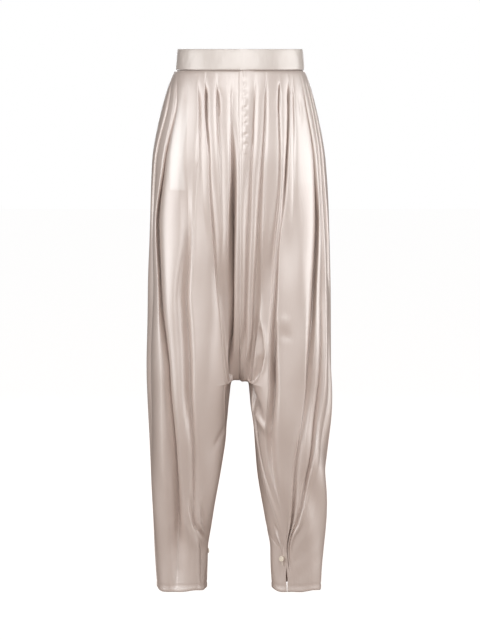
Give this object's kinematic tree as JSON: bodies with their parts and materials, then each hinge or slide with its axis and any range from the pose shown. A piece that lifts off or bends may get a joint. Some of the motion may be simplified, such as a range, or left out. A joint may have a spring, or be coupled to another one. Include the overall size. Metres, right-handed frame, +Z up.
{
  "type": "harem pants",
  "caption": "Pleated satin harem pants with a lapped waistband, a seat hanging to a low crotch and full legs that narrow to cuffs closed by a button and thread loop.",
  "frame": {"origin": "the middle of the waist opening, at half the height of the waistband", "axes": "+Z up out of the waist, -Y the wearer's front, +X the wearer's left"},
  "size_m": [0.3708, 0.2478, 1.088],
  "materials": {
    "satin": "silk satin with a soft sheen, champagne",
    "button": "polished pearly cream",
    "thread": "twisted thread, champagne"
  },
  "bodies": {
    "root": {"waistband": "satin", "fly_lap": "satin", "front_right": "satin", "back_right": "satin", "button_right": "button", "loop_right": "thread", "front_left": "satin", "back_left": "satin", "button_left": "button", "loop_left": "thread"}
  },
  "joints": []
}
